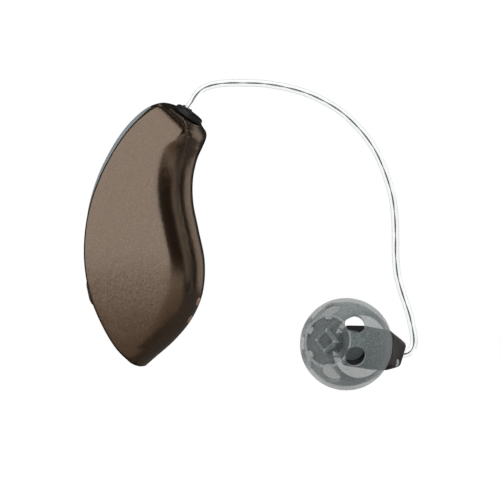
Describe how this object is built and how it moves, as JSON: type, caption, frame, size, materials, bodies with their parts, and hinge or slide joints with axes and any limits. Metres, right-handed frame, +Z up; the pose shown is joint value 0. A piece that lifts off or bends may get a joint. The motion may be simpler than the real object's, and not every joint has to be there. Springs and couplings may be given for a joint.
{
  "type": "hearing aid",
  "caption": "Behind-the-ear hearing aid: comma-shaped brown housing with charging contacts, and a receiver in a soft dome on a clear wire tube.",
  "frame": {"origin": "the hollow of the housing's front edge, on its middle plane, where the ear carries it", "axes": "+X to the front of the wearer, +Y away from the head, +Z up; built for the left ear"},
  "size_m": [0.0403, 0.0209, 0.0346],
  "materials": {
    "bronze_paint": "metallic brown lacquer with fine flake over moulded plastic",
    "spine_grey": "satin grey moulding",
    "button_grey": "satin dark grey",
    "black_plastic": "satin black",
    "clear_tube": "clear",
    "conductor": "dark insulated strands",
    "copper_gold": "polished copper-gold plating",
    "smoke_silicone": "smoky translucent, frosted",
    "black_rubber": "matt",
    "board_green": "solder mask",
    "chip_black": "moulded epoxy",
    "steel": "fine brushed",
    "copper_wire": "enamelled copper",
    "ferrite": "sintered",
    "chassis_grey": "moulded",
    "marker_grey": "printed dot",
    "guard_plastic": "moulded"
  },
  "bodies": {
    "housing": {"body_shell": "bronze_paint", "spine_cover": "spine_grey", "mic_screens": "steel", "mic_gaskets": "black_rubber", "microphone_front": "steel", "microphone_rear": "steel", "chassis": "chassis_grey", "circuit_board": "board_green", "sound_processor": "chip_black", "radio_chip": "chip_black", "memory_chip": "chip_black", "small_components": "ferrite", "coil_core": "ferrite", "coil_winding": "copper_wire", "antenna": "copper_wire", "battery_cell": "steel", "battery_tab_positive": "steel", "battery_tab_negative": "steel", "charge_contact_upper": "copper_gold", "charge_contact_lower": "copper_gold", "contact_seals": "black_rubber", "contact_springs": "copper_gold", "tact_switch": "chip_black", "switch_dome": "steel", "button_seal": "black_rubber", "receiver_socket": "black_plastic", "socket_contacts": "copper_gold"},
    "button": {"push_button": "button_grey"},
    "receiver_unit": {"plug_body": "black_plastic", "plug_contacts": "copper_gold", "plug_seal": "black_rubber", "wire_tube": "clear_tube", "wire_core": "conductor", "case_rear": "black_plastic", "case_front": "black_plastic", "speaker_driver": "steel", "driver_spout": "steel", "driver_cushions": "black_rubber", "side_marker": "marker_grey"},
    "ear_dome": {"dome": "smoke_silicone"},
    "guard": {"wax_guard": "guard_plastic"}
  },
  "joints": [
    {"name": "button_press", "type": "slide", "parent": "housing", "child": "button", "axis": [0.9757, 0, 0.2192], "range_m": [0, 0.00025], "stiffness_N_per_m": 400},
    {"name": "receiver_unplug", "type": "slide", "parent": "housing", "child": "receiver_unit", "axis": [0.5929, 0, 0.8053], "range_m": [0, 0.0035]},
    {"name": "dome_pull", "type": "slide", "parent": "receiver_unit", "child": "ear_dome", "axis": [-0.215, -0.97, 0.1132], "range_m": [0, 0.0035]},
    {"name": "wax_guard_pull", "type": "slide", "parent": "receiver_unit", "child": "guard", "axis": [-0.215, -0.97, 0.1132], "range_m": [0, 0.0015]}
  ]
}
